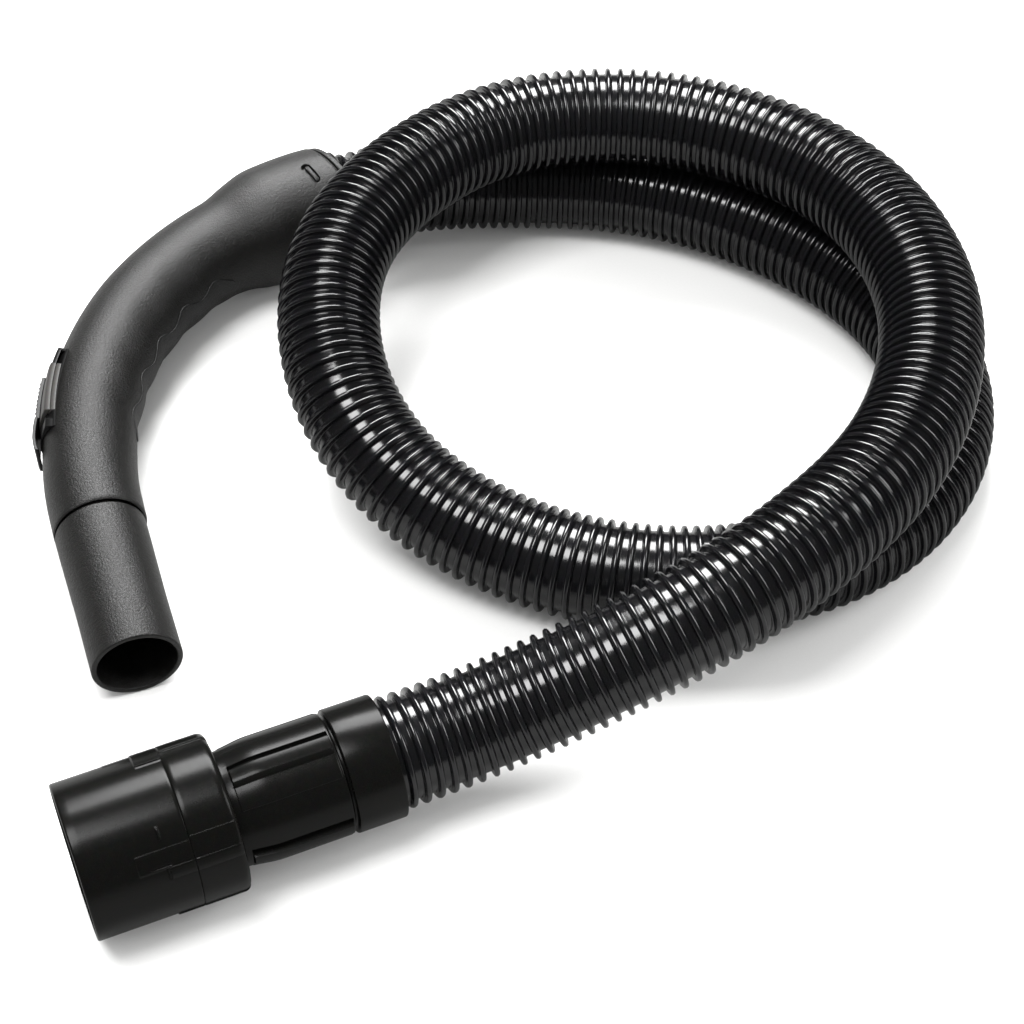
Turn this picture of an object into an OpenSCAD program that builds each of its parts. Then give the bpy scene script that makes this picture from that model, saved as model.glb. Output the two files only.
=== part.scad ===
// Vacuum cleaner hose assembly: bent grip handle with a wand spigot and a suction regulator,
// ribbed hose lying in a coil, and the connector that plugs into the machine.
// Millimetres, +Z up. The assembly lies on the floor at z = 0. The origin is on the floor,
// midway between the handle and the connector. The connector's mouth faces -X.

/* [Hose] */
// Outside diameter over the ribs
hose_d = 42; // [38:0.5:50]
// Mean wall of the plain tube that stands for the ribbed wall
hose_wall = 2; // [1.6:0.1:2.6]

/* [Handle] */
// Outside diameter at the mouth of the wand spigot
spigot_d = 35; // [30:0.5:38]
// Length of spigot outside the grip
spigot_len = 68; // [56:1:82]
// Radius of the bend along its centre line
bend_r = 140; // [128:1:168]
// Angle of the bend
bend_angle = 86; // [74:1:90]
// Outside diameter of the grip
grip_d = 38; // [38:0.5:46]
// Wall of the bent pipe
pipe_wall = 1.8; // [1.4:0.1:2.4]
// Straight length of the collar from its mouth to its shoulder
collar_len = 36; // [32:1:44]

/* [Suction regulator] */
// Width of the regulator's base, a saddle on the grip
regulator_w = 28; // [24:0.5:30]
// Height of the base above the grip
regulator_h = 2.2; // [1.9:0.1:3.2]

/* [Machine connector] */
// Outside diameter of the coupling at its back
coupling_d = 57.5; // [56:0.5:69]
// Length of the coupling
coupling_len = 55; // [50:1:64]
// Bore of the coupling's socket
coupling_bore = 49; // [44:0.5:50]
// Outside diameter of the ribbed sleeve
sleeve_d = 46; // [45:0.5:54]
// Length of sleeve behind the coupling
sleeve_len = 40; // [37:1:48]
// Length of the smooth cuff on the hose
cuff_len = 18; // [16:1:22]

/* [Hidden] */
round_fn = 96;
gap = 0.3;
running = 0.05;
chamfer = 0.8;

// Places of the two ends of the hose.
handle_x = 99;
handle_y = 147;
cuff_x = -5;
connector_y = -145;

// Handle end, from the hose outwards.
hose_r = hose_d / 2;
cuff_wall = 1.9;
cuff_r = hose_r + cuff_wall;
ring_bore_r = cuff_r + 2 * running;
ring_r = ring_bore_r + 2;
collar_r = ring_r + 2;
ring_flange_r = collar_r - 0.3;
ring_flange = 2.6;
cavity = 26.5;
cuff_flange_r = ring_r - 0.4;
cuff_flange = 2.7;
pipe_r = spigot_d / 2 - 0.5;
pipe_bore_r = pipe_r - pipe_wall;
grip_r = grip_d / 2;
bend_x = -10;
bend_end = 90 + bend_angle;
grip_tail = 12;
tail_r = grip_r - 0.2;
stub_r = pipe_r + 0.3;
handle_roll = 2.5;
window_x = -12.5;
window_l = 3.6;
window_w = 10.5;
window_turn = 10;
window_slant = 15;

// Where the collar's shoulder starts and ends.
shoulder_x = -collar_len;
shoulder_l = 26;
shoulder_r = 10;
// The finger insert starts this far round the bend, behind the shoulder.
insert_start = 108 + (collar_len - 36) / bend_r * 180 / PI;

// Regulator, as angles round the bend and heights above the grip.
reg_start = 141.5;
reg_end = 166;
reg_floor = 1.3;
saddle_drop = 8;
plate_w = 12;
reg_foot_w = 11;
reg_stem_w = 7;
vent_angle = 151;
vent_r = 4;

// Machine end, along its own axis.
coupling_r = coupling_d / 2;
axis_z = coupling_r;
sleeve_r = sleeve_d / 2;
sleeve_end = cuff_x - 1.5;
coupling_end = sleeve_end - sleeve_len;
mouth_x = coupling_end - coupling_len;
socket_r = coupling_bore / 2;
socket_wall = 1.5;
socket_floor = coupling_end - 11.5;
seal_r = socket_r - 1;
seal_ring_w = 4;
seal_ring_h = 1.6;
nose_r = sleeve_r - 5;
sleeve_bore_r = nose_r + running;
nose_x = sleeve_end - 27;
clip_x = nose_x + 3;
clip_w = 2.4;
seal_x = nose_x + 14;
bush_wall = 2.2;

// Heights the route runs at: on the floor, and lying on the strand below.
floor_z = hose_r;
top_z = 3 * hose_r + 0.5;
handle_z = collar_r;

// Route of the hose's centre line, as the guide points of a smooth curve.
route = [
    [handle_x - 20, handle_y, handle_z],
    [handle_x + 3, handle_y, handle_z],
    [134, handle_y, handle_z],
    [177, 138, floor_z],
    [224, 117, floor_z],
    [260, 85, floor_z],
    [288, 42, floor_z],
    [303, -5, floor_z],
    [299, -55, floor_z],
    [269, -98, floor_z],
    [224, -120, floor_z],
    [173, -119, floor_z],
    [126, -98, floor_z],
    [90, -65, floor_z],
    [60, -25, floor_z + 11],
    [51, 20, top_z - 12],
    [69, 70, top_z - 1],
    [102, 103, top_z],
    [152, 126, top_z],
    [199, 124, top_z],
    [246, 102, top_z],
    [280, 64, top_z],
    [298, 18, top_z],
    [294, -34, top_z],
    [272, -78, top_z],
    [236, -115, top_z],
    [193, -137, top_z + 0.5],
    [144, -150, top_z - 5],
    [97, -150, top_z - 18],
    [54, connector_y, axis_z + 1],
    [26, connector_y, axis_z],
    [cuff_x + 5, connector_y, axis_z],
];
hose_sides = 12;
hose_rings = 76;

// Point i of the route; past the ends the route carries on straight.
last = len(route) - 1;
function guide(i) =
    i < 0 ? 2 * route[0] - route[1] :
    i > last ? 2 * route[last] - route[last - 1] :
    route[i];

// The curve blends four guide points at a time, so its bends have no kinks.
function blend(a, b, c, d, t) =
    (pow(1 - t, 3) * a + (3 * pow(t, 3) - 6 * t * t + 4) * b
        + (3 * (t + t * t - pow(t, 3)) + 1) * c + pow(t, 3) * d) / 6;
function centre(u) =
    let (i = min(floor(u), last - 1))
    blend(guide(i - 1), guide(i), guide(i + 1), guide(i + 2), u - i);
function unit(v) = v / norm(v);
function heading(u) =
    unit(centre(min(u + 0.01, last)) - centre(max(u - 0.01, 0)));
function side(u) = unit(cross(heading(u), [0, 0, 1]));
function ring(u, r) = [
    for (k = [0 : hose_sides - 1])
        let (a = 360 * k / hose_sides)
        centre(u) + r * (cos(a) * side(u) + sin(a) * cross(side(u), heading(u)))
];

// A solid of revolution about X from points given as [radius, distance along X].
module turned(points) {
    rotate([0, 90, 0])
        rotate_extrude($fn = round_fn)
            polygon(points);
}

// A plain tube along X.
module tube_x(from, to, outer, inner) {
    turned([[inner, from], [outer, from], [outer, to], [inner, to]]);
}

// The handle's own frame: X along the collar towards the hose, zero at the collar's mouth.
// The small roll lets the spigot's mouth down to the floor.
module on_handle() {
    translate([handle_x, handle_y, handle_z])
        rotate([handle_roll, 0, 0])
            children();
}

// The centre of the bend, inside the handle's frame.
module on_bend() {
    translate([bend_x, -bend_r, 0])
        children();
}

// A section swept round the bend between two angles; the section's zero is the centre line.
module swept(from, to) {
    on_bend()
        rotate([0, 0, from])
            rotate_extrude(angle = to - from, $fn = 120)
                translate([bend_r, 0])
                    children();
}

// The straight end of the handle, Z pointing out of the spigot.
module on_spigot() {
    on_bend()
        rotate([0, 0, bend_end])
            translate([bend_r, 0, 0])
                rotate([-90, 0, 0])
                    children();
}

// A block in each of the collar's two windows, centred at a radius.
module in_windows(radius, length, width, depth) {
    for (turn = [window_turn, window_turn + 180])
        rotate([turn, 0, 0])
            translate([window_x, 0, radius])
                rotate([0, 0, window_slant])
                    cube([length, width, depth], center = true);
}

module vent_hole() {
    on_bend()
        rotate([0, 0, vent_angle])
            translate([bend_r + pipe_bore_r - 2, 0, 0])
                rotate([0, 90, 0])
                    cylinder(h = 8, r = vent_r, $fn = 32);
}

// The tapered tube the wand pushes onto, with its stop shoulder against the grip.
module spigot() {
    tip = spigot_d / 2;
    color("#26272a")
        on_handle()
            on_spigot()
                rotate_extrude($fn = round_fn)
                    polygon([
                        [pipe_bore_r, 0],
                        [stub_r, 0],
                        [stub_r, grip_tail],
                        [tip + 0.8, grip_tail],
                        [tip, grip_tail + spigot_len - 28],
                        [tip, grip_tail + spigot_len - 0.6],
                        [tip - 0.6, grip_tail + spigot_len],
                        [pipe_bore_r + 0.6, grip_tail + spigot_len],
                        [pipe_bore_r, grip_tail + spigot_len - 0.6],
                    ]);
}

// The air pipe inside the grip.
module bend_pipe() {
    color("#1c1d1f")
        on_handle()
            difference() {
                swept(90, bend_end)
                    difference() {
                        circle(r = pipe_r, $fn = 48);
                        circle(r = pipe_bore_r, $fn = 64);
                    }
                translate([-cavity - 2, -50, -50])
                    cube(100);
                vent_hole();
            }
}

// The moulded grip: a round bend that swells into the collar round the swivel.
module grip_shell() {
    steps = 12;
    shoulder = [
        for (i = [0 : steps])
            let (s = i / steps)
            [shoulder_r + (collar_r - shoulder_r) * s * s * (3 - 2 * s), shoulder_x - shoulder_l * (1 - s)]
    ];
    color("#2b2c2f")
        on_handle()
            difference() {
                union() {
                    swept(100, bend_end)
                        circle(r = grip_r, $fn = 64);
                    on_spigot()
                        translate([0, 0, -0.5])
                            cylinder(h = grip_tail + 0.5, r = tail_r, $fn = 64);
                    turned(concat(
                        [[0, shoulder_x - shoulder_l]],
                        shoulder,
                        [[collar_r, -chamfer], [collar_r - chamfer, 0], [0, 0]]
                    ));
                }
                swept(94, bend_end)
                    circle(r = pipe_r + 2 * running, $fn = 48);
                on_spigot()
                    cylinder(h = grip_tail + 1, r = stub_r, $fn = 64);
                turned([[0, -cavity], [ring_r, -cavity], [ring_r, 1], [0, 1]]);
                turned([
                    [0, -cavity - 2],
                    [pipe_r + 4, -cavity - 2],
                    [pipe_r + 4, -cavity + 1],
                    [0, -cavity + 1],
                ]);
                in_windows(collar_r, window_l, window_w, 8);
                vent_hole();
            }
}

// The soft strip under the fingers, with three low waves.
module finger_insert() {
    strip = 1.2;
    wave_r = 14;
    color("#202124")
        on_handle()
            difference() {
                union() {
                    swept(insert_start, 160)
                        intersection() {
                            circle(r = grip_r + strip, $fn = round_fn);
                            polygon([[0, 0], [-40, -34], [-40, 34]]);
                        }
                    for (a = [118, 132, 146])
                        on_bend()
                            rotate([0, 0, a])
                                translate([bend_r - (grip_r + 2.6 - wave_r), 0, 0])
                                    sphere(r = wave_r, $fn = 64);
                }
                swept(100, 168)
                    circle(r = grip_r, $fn = 64);
            }
}

// A block round the outside of the bend, standing from low to high above the grip.
module bend_block(from, to, low, high, width) {
    swept(from, to)
        translate([grip_r + low, -width / 2])
            square([high - low, width]);
}

// The regulator's frame, with the slot its slider runs in.
module regulator_base() {
    color("#1d1e20")
        on_handle()
            difference() {
                bend_block(reg_start, reg_end, -saddle_drop, regulator_h, regulator_w);
                swept(reg_start - 4, reg_end + 4)
                    circle(r = grip_r, $fn = 64);
                bend_block(reg_start + 1.5, reg_end - 6.5, -4, reg_floor, reg_foot_w + 1);
                bend_block(reg_start + 2, reg_end - 7, 1, regulator_h + 1, reg_stem_w + 0.6);
            }
}

// The slider: a block on top of the frame, a stem through the slot and a foot that shuts the vent.
module regulator_slider() {
    color("#4a4b4e")
        on_handle()
            union() {
                bend_block(146, 156.5, regulator_h + gap, regulator_h + 1.4, regulator_w - 2);
                bend_block(147, 155.5, reg_floor - 0.6, regulator_h + gap + 0.1, reg_stem_w);
                bend_block(147, 155.5, gap, reg_floor - gap, reg_foot_w);
            }
}

// The ridged thumb plate clipped over the slider, with its curved lip.
module regulator_cover() {
    color("#232427")
        on_handle()
            union() {
                bend_block(147, 162.5, regulator_h + 1.4, regulator_h + 2.1, plate_w);
                for (a = [148 : 1.6 : 156])
                    bend_block(a, a + 0.5, regulator_h + 2, regulator_h + 2.5, plate_w);
            }
}

// The snap ring in the collar's mouth: a flange, a sleeve and two tabs in the collar's windows.
module collar_ring() {
    color("#1b1c1e")
        on_handle()
            union() {
                turned([
                    [ring_bore_r, -cavity + cuff_flange + 0.8],
                    [ring_r, -cavity + cuff_flange + 0.8],
                    [ring_r, 0],
                    [ring_flange_r, 0],
                    [ring_flange_r, ring_flange - 0.8],
                    [ring_flange_r - 0.8, ring_flange],
                    [ring_bore_r, ring_flange],
                ]);
                in_windows(ring_r + 0.4, window_l - 0.8, window_w - 0.8, 2);
            }
}

// The seal between the pipe's end and the turning cuff.
module handle_seal() {
    color("#111214")
        on_handle()
            tube_x(-cavity - 2, -cavity + 0.2, pipe_r + 4, pipe_r);
}

// The cuff moulded on the hose's handle end, held in the collar by its flange.
module handle_cuff() {
    back = -cavity + 0.5;
    color("#18191b")
        translate([handle_x, handle_y, handle_z])
            turned([
                [hose_r - 3, back],
                [cuff_flange_r, back],
                [cuff_flange_r, back + cuff_flange - 0.3],
                [cuff_r, back + cuff_flange - 0.3],
                [cuff_r, ring_flange],
                [hose_r, ring_flange],
                [hose_r, -20],
                [hose_r - 3, -20],
            ]);
}

// The threaded bush that clamps the hose in the handle cuff.
module handle_bush() {
    bore_r = hose_r - hose_wall - 0.8;
    color("#18191b")
        translate([handle_x, handle_y, handle_z])
            tube_x(-20, -4, bore_r, bore_r - bush_wall);
}

// The hose as a smooth tube; its ends stand on the floors of the two cuffs.
module hose() {
    outer = [for (i = [0 : hose_rings - 1]) each ring(last * i / (hose_rings - 1), hose_r)];
    inner = [
        for (i = [0 : hose_rings - 1])
            each ring(last * i / (hose_rings - 1), hose_r - hose_wall)
    ];
    n = hose_sides;
    m = len(outer);
    walls = [
        for (i = [0 : hose_rings - 2], k = [0 : n - 1])
            let (a = i * n + k, b = i * n + (k + 1) % n)
            each [
                [a, b, b + n],
                [a, b + n, a + n],
                [m + a, m + b + n, m + b],
                [m + a, m + a + n, m + b + n],
            ]
    ];
    ends = [
        for (k = [0 : n - 1])
            let (b = (k + 1) % n, e = m - n)
            each [
                [k, m + k, m + b],
                [k, m + b, b],
                [e + k, e + b, m + e + b],
                [e + k, m + e + b, m + e + k],
            ]
    ];
    color("#121315")
        polyhedron(points = concat(outer, inner), faces = concat(walls, ends), convexity = 10);
}

// Everything at the machine end sits on this axis.
module on_connector() {
    translate([0, connector_y, axis_z])
        children();
}

// The smooth cuff on the hose, with the nose that turns in the sleeve.
module machine_cuff() {
    rim = cuff_x + cuff_len;
    color("#1a1b1d")
        on_connector()
            turned([
                [nose_r - 2, nose_x],
                [nose_r - 0.8, nose_x],
                [nose_r, nose_x + 0.8],
                [nose_r, clip_x - gap],
                [nose_r - 1, clip_x - gap],
                [nose_r - 1, clip_x + clip_w + gap],
                [nose_r, clip_x + clip_w + gap],
                [nose_r, sleeve_end + gap],
                [sleeve_r - 2.6, sleeve_end + gap],
                [sleeve_r - 2.6, cuff_x],
                [cuff_r, cuff_x],
                [cuff_r, rim - chamfer],
                [cuff_r - chamfer, rim],
                [hose_r, rim],
                [hose_r, cuff_x + 5],
                [nose_r - 2, cuff_x + 5],
            ]);
}

// The threaded bush that clamps the hose in the machine cuff.
module machine_bush() {
    bore_r = hose_r - hose_wall - 0.8;
    color("#1a1b1d")
        on_connector()
            tube_x(cuff_x + 5, cuff_x + cuff_len - 2, bore_r, bore_r - bush_wall);
}

// The clip in the sleeve that keeps the turning nose in.
module swivel_clip() {
    color("#d8d8d4")
        on_connector()
            tube_x(clip_x, clip_x + clip_w, nose_r + 1.2, nose_r - 0.8);
}

// The seal ring round the turning nose.
module swivel_seal() {
    color("#0f1011")
        on_connector()
            tube_x(seal_x, seal_x + 3, nose_r + 1.4, sleeve_bore_r);
}

// The sleeve one holds to pull the connector out, with four long ribs.
module ribbed_sleeve() {
    rib_w = 19;
    slot_w = 3;
    rib_turn = 8;
    neck = sleeve_r - 1.6;
    skin = sleeve_r - 1;
    color("#161719")
        on_connector()
            difference() {
                union() {
                    turned([
                        [0, coupling_end - 8],
                        [neck - 1, coupling_end - 8],
                        [neck - 1, coupling_end + 0.5],
                        [neck, coupling_end + 0.5],
                        [skin, coupling_end + 12],
                        [skin, sleeve_end - 0.5],
                        [skin - 0.5, sleeve_end],
                        [0, sleeve_end],
                    ]);
                    for (q = [0 : 3])
                        rotate([90 * q + rib_turn - rib_w / 2, 0, 0])
                            rotate([0, 90, 0])
                                translate([0, 0, coupling_end + 7])
                                    rotate_extrude(angle = rib_w, $fn = round_fn)
                                        translate([skin - 2, 0])
                                            square([3, sleeve_len - 9]);
                }
                for (q = [0 : 3])
                    rotate([90 * q + rib_turn - rib_w / 2 - slot_w, 0, 0])
                        rotate([0, 90, 0])
                            translate([0, 0, coupling_end + 8])
                                rotate_extrude(angle = slot_w + 0.4, $fn = round_fn)
                                    translate([skin - 1, 0])
                                        square([3, sleeve_len - 11]);
                turned([[0, nose_x - gap], [sleeve_bore_r, nose_x - gap],
                    [sleeve_bore_r, sleeve_end + 1], [0, sleeve_end + 1]]);
                turned([[0, coupling_end - 9], [nose_r - 2, coupling_end - 9],
                    [nose_r - 2, nose_x], [0, nose_x]]);
                turned([[0, clip_x], [nose_r + 1.2, clip_x],
                    [nose_r + 1.2, clip_x + clip_w], [0, clip_x + clip_w]]);
                turned([[0, seal_x], [nose_r + 1.4, seal_x],
                    [nose_r + 1.4, seal_x + 3], [0, seal_x + 3]]);
            }
}

// A raised pad on the coupling, from one angle round X over a width, between two places along X.
module pad(from, width, start, end) {
    rotate([from, 0, 0])
        rotate([0, 90, 0])
            translate([0, 0, start])
                rotate_extrude(angle = width, $fn = round_fn)
                    translate([coupling_r - 3, 0])
                        square([3, end - start]);
}

// The coupling's outer body, with stepped raised pads on its back half.
module coupling_body() {
    neck = sleeve_r - 2.6;
    front_r = coupling_r - 0.6;
    lining = socket_r + socket_wall;
    line_x = mouth_x + 0.69 * coupling_len;
    front_x = mouth_x + 0.52 * coupling_len;
    color("#17181a")
        on_connector()
            difference() {
                union() {
                    turned([
                        [lining - 1, mouth_x],
                        [front_r - chamfer, mouth_x],
                        [front_r, mouth_x + chamfer],
                        [coupling_r - 0.5, coupling_end - 2.5],
                        [coupling_r - 1.1, coupling_end - 1],
                        [coupling_r - 2.4, coupling_end],
                        [0, coupling_end],
                        [0, coupling_end - 8],
                        [lining - 1, coupling_end - 8],
                    ]);
                    for (q = [0, 180]) {
                        pad(q + 118, 38, front_x, line_x + 0.5);
                        pad(q + 118, 28, line_x, coupling_end - 3);
                        pad(q + 238, 10, front_x, coupling_end - 3);
                    }
                }
                turned([[0, mouth_x - 1], [lining, mouth_x - 1],
                    [lining, coupling_end - 8], [0, coupling_end - 8]]);
                turned([[0, coupling_end - 9], [neck, coupling_end - 9],
                    [neck, coupling_end + 1], [0, coupling_end + 1]]);
            }
}

// The smooth socket inside the coupling that grips the machine's inlet pipe.
module coupling_socket() {
    outer = socket_r + socket_wall;
    color("#1f2022")
        on_connector()
            turned([
                [socket_r + 0.8, mouth_x + 0.6],
                [outer, mouth_x + 0.6],
                [outer, socket_floor + 3.5],
                [nose_r - 2, socket_floor + 3.5],
                [nose_r - 2, socket_floor],
                [seal_r - seal_ring_w, socket_floor],
                [seal_r - seal_ring_w, socket_floor + seal_ring_h],
                [seal_r, socket_floor + seal_ring_h],
                [seal_r, socket_floor],
                [socket_r, socket_floor],
                [socket_r, mouth_x + 1.4],
            ]);
}

// The rubber ring let into the socket's floor, which the inlet pipe presses on.
module coupling_seal() {
    color("#0d0e0f")
        on_connector()
            tube_x(socket_floor, socket_floor + seal_ring_h, seal_r, seal_r - seal_ring_w);
}

spigot();
bend_pipe();
grip_shell();
finger_insert();
regulator_base();
regulator_slider();
regulator_cover();
collar_ring();
handle_seal();
handle_cuff();
handle_bush();
hose();
machine_cuff();
machine_bush();
swivel_clip();
swivel_seal();
ribbed_sleeve();
coupling_body();
coupling_socket();
coupling_seal();
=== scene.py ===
# %% [markdown]
# A vacuum cleaner's hose assembly: a bent grip handle, a ribbed hose lying in a loose coil, and the connector
# that plugs into the machine. The CAD model fixes every place and size, so this lesson starts from it and works
# out a finer surface for each part that shows. Everything is in metres, +Z is up, and the floor is z = 0.

import math

import bmesh
import bpy
import numpy as np
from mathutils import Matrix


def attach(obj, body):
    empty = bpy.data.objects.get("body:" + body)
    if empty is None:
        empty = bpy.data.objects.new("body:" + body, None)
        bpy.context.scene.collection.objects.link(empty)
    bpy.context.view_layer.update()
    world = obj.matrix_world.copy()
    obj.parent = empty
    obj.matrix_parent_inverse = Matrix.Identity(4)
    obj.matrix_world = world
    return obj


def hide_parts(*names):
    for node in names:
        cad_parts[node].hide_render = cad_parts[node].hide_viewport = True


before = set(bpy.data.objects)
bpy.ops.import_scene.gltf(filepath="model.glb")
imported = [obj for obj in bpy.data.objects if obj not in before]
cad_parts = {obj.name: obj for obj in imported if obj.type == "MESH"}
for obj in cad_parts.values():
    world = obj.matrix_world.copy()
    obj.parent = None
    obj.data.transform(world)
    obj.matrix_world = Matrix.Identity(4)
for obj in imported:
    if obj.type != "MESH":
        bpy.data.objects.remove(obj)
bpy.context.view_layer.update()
MM = 0.001

# %% [markdown]
# The camera is 0.65 m above the floor and about as far back, and looks down at the middle of the coil. A 74 mm
# lens keeps the near connector from looking swollen. It is set first, because a hose has to be laid so that it
# is all in view.

# %% Camera
CAMERA_AT = (-0.1128, -0.5582, 0.650)
LOOK_AT = (0.109, -0.033, 0.0)


def aimed(place, target):
    """A rotation that turns an object's -Z axis from place towards target, with its +Y axis kept upwards."""
    way = np.array(target, float) - np.array(place, float)
    flat = math.hypot(way[0], way[1])
    return (math.atan2(flat, -way[2]), 0.0, math.atan2(-way[0], way[1]))


camera_data = bpy.data.cameras.new("camera")
camera_data.lens = 74
camera_data.sensor_width = 36
camera_data.clip_start = 0.02
camera = bpy.data.objects.new("camera", camera_data)
camera.location = CAMERA_AT
camera.rotation_euler = aimed(CAMERA_AT, LOOK_AT)
bpy.context.collection.objects.link(camera)
bpy.context.scene.camera = camera

# %% [markdown]
# Every material is a small tree of nodes. Two helpers keep the trees short: one turns a colour written as sRGB
# hex into the linear numbers that a renderer wants, and one adds a node with its settings and its links.

# %% Helpers for materials


def linear(code):
    """An sRGB hex colour as linear RGBA: values under 0.04045 are divided by 12.92, others follow a 2.4 power."""
    v = np.array([int(code[i : i + 2], 16) for i in (1, 3, 5)]) / 255
    v = np.where(v <= 0.04045, v / 12.92, ((v + 0.055) / 1.055) ** 2.4)
    return (*v.tolist(), 1.0)


def add(tree, kind, settings=None, **inputs):
    """Adds one node, sets its properties, and fills its sockets from values or from other nodes' outputs."""
    made = tree.nodes.new(kind)
    for key, value in (settings or {}).items():
        setattr(made, key, value)
    for key, value in inputs.items():
        socket = made.inputs[int(key[1:])] if key[0] == "_" else made.inputs[key.replace("_", " ")]
        if isinstance(value, bpy.types.NodeSocket):
            tree.links.new(value, socket)
        else:
            socket.default_value = value
    return made


def material(name):
    """A new material with an empty tree, and that tree."""
    made = bpy.data.materials.new(name)
    made.use_nodes = True
    made.node_tree.nodes.clear()
    return made, made.node_tree


def plastic(name, dark, light, roughness, spread, grain_mm, bump_mm, ior=1.52, swirl_mm=60, shine=0.5,
        mottle=0.35):
    """A moulded plastic. Its colour drifts between two shades over swirl_mm and is speckled by mottle, its roughness
    drifts by spread, and a noise of grain_mm raises the surface by bump_mm. Shine is its specular level."""
    made, tree = material(name)
    at = add(tree, "ShaderNodeTexCoord").outputs["Object"]
    drift = add(tree, "ShaderNodeTexNoise", Vector=at, Scale=1 / (swirl_mm * MM), Detail=3.0, Roughness=0.6)
    grain = add(tree, "ShaderNodeTexNoise", Vector=at, Scale=1 / (grain_mm * MM), Detail=4.0, Roughness=0.7)
    mixed = add(tree, "ShaderNodeMixRGB", Fac=drift.outputs["Fac"], Color1=linear(dark), Color2=linear(light))
    fine = add(tree, "ShaderNodeMixRGB", {"blend_type": "OVERLAY"}, Fac=mottle, Color1=mixed.outputs["Color"],
        Color2=grain.outputs["Color"])
    rough = add(tree, "ShaderNodeMapRange", Value=grain.outputs["Fac"], From_Min=0.3, From_Max=0.7,
        To_Min=roughness - spread, To_Max=roughness + spread)
    bump = add(tree, "ShaderNodeBump", Strength=1.0, Distance=bump_mm * MM, Height=grain.outputs["Fac"])
    shader = add(tree, "ShaderNodeBsdfPrincipled", Base_Color=fine.outputs["Color"], IOR=ior,
        Roughness=rough.outputs["Result"], Specular_IOR_Level=shine, Normal=bump.outputs["Normal"])
    out = add(tree, "ShaderNodeOutputMaterial")
    tree.links.new(shader.outputs["BSDF"], out.inputs["Surface"])
    return made


# %% [markdown]
# A new piece is a grid of points: rows along it and columns round it. These helpers turn such grids into closed
# meshes with all faces pointing outwards, and hang a piece on its CAD body.

# %% Helpers for meshes


def grid_faces(rows, columns, round_rows=False, flip=False):
    """Quads between neighbouring rows of a grid whose columns close into a ring; round_rows joins the last row to
    the first as well."""
    a = np.arange(rows if round_rows else rows - 1)[:, None]
    b = np.arange(columns)[None, :]
    up, along = (a + 1) % rows, (b + 1) % columns
    corners = (a * columns + b, a * columns + along, up * columns + along, up * columns + b)
    quads = np.stack(np.broadcast_arrays(*corners), axis=-1).reshape(-1, 4)
    return quads[:, ::-1] if flip else quads


def build(name, points, faces, body, finish, replaced=(), normals=None, sharp=None):
    """A mesh object at the origin from points and faces, riding on a CAD body, with one material. Its faces are
    turned outwards by the sign of its volume. Edges sharper than sharp degrees stay crisp."""
    mesh = bpy.data.meshes.new(name)
    mesh.from_pydata(points.reshape(-1, 3).tolist(), [], faces if isinstance(faces, list) else faces.tolist())
    mesh.polygons.foreach_set("use_smooth", np.ones(len(mesh.polygons), bool))
    shape = bmesh.new()
    shape.from_mesh(mesh)
    inside_out = shape.calc_volume(signed=True) < 0
    shape.free()
    if inside_out:
        mesh.flip_normals()
    if normals is not None:
        mesh.normals_split_custom_set_from_vertices(normals.reshape(-1, 3).tolist())
    if sharp is not None:
        mesh.set_sharp_from_angle(angle=math.radians(sharp))
    mesh.update()
    piece = bpy.data.objects.new(name, mesh)
    bpy.context.collection.objects.link(piece)
    mesh.materials.append(finish)
    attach(piece, body)
    if replaced:
        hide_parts(*replaced)
    print(name, len(mesh.vertices), "points", len(mesh.polygons), "faces")
    return piece


# %% [markdown]
# The hose is one blown tube of soft black plastic with a raised ring every few millimetres. It lies in a coil of
# almost one and a half turns, its upper turn resting on the lower one. The rings are stiff and the thin wall
# between them stretches, so each ring is made as a rigid profile set square to the centre line, and the valleys
# between simply join them. That gives the bunching on the inside of a bend that a real hose has.

# %% The hose's centre line
ROUTE = np.array([
    (79, 147, 27), (102, 147, 27), (134, 147, 27), (177, 138, 21), (224, 117, 21), (260, 85, 21),
    (288, 42, 21), (303, -5, 21), (299, -55, 21), (269, -98, 21), (224, -120, 21), (173, -119, 21),
    (126, -98, 21), (90, -65, 21), (60, -25, 32), (51, 20, 51.5), (69, 70, 62.5), (102, 103, 63.5),
    (152, 126, 63.5), (199, 124, 63.5), (246, 102, 63.5), (280, 64, 63.5), (298, 18, 63.5), (294, -34, 63.5),
    (272, -78, 63.5), (236, -115, 63.5), (193, -137, 64), (144, -150, 58.5), (97, -150, 45.5), (54, -145, 29.75),
    (26, -145, 28.75), (0, -145, 28.75),
]) * MM


def blended(points, count):
    """A uniform cubic B-spline: each place blends four neighbouring points with the weights (1-t)^3,
    3t^3-6t^2+4, 3(t+t^2-t^3)+1 and t^3, over six. One extra point past each end keeps the ends in place."""
    p = np.vstack([2 * points[0] - points[1], points, 2 * points[-1] - points[-2]])
    u = np.linspace(0, len(points) - 1, count)
    i = np.minimum(u.astype(int), len(points) - 2)
    t = (u - i)[:, None]
    weights = ((1 - t) ** 3, 3 * t**3 - 6 * t * t + 4, 3 * (t + t * t - t**3) + 1, t**3)
    return sum(w * p[i + k] for k, w in enumerate(weights)) / 6


def distances(points):
    """How far along a line each of its points is."""
    return np.concatenate([[0], np.cumsum(np.linalg.norm(np.diff(points, axis=0), axis=1))])


def unit(v):
    """Vectors of length one."""
    return v / np.linalg.norm(v, axis=-1, keepdims=True)


fine_line = blended(ROUTE, 4000)
fine_at = distances(fine_line)
HOSE_LENGTH = fine_at[-1]


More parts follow.
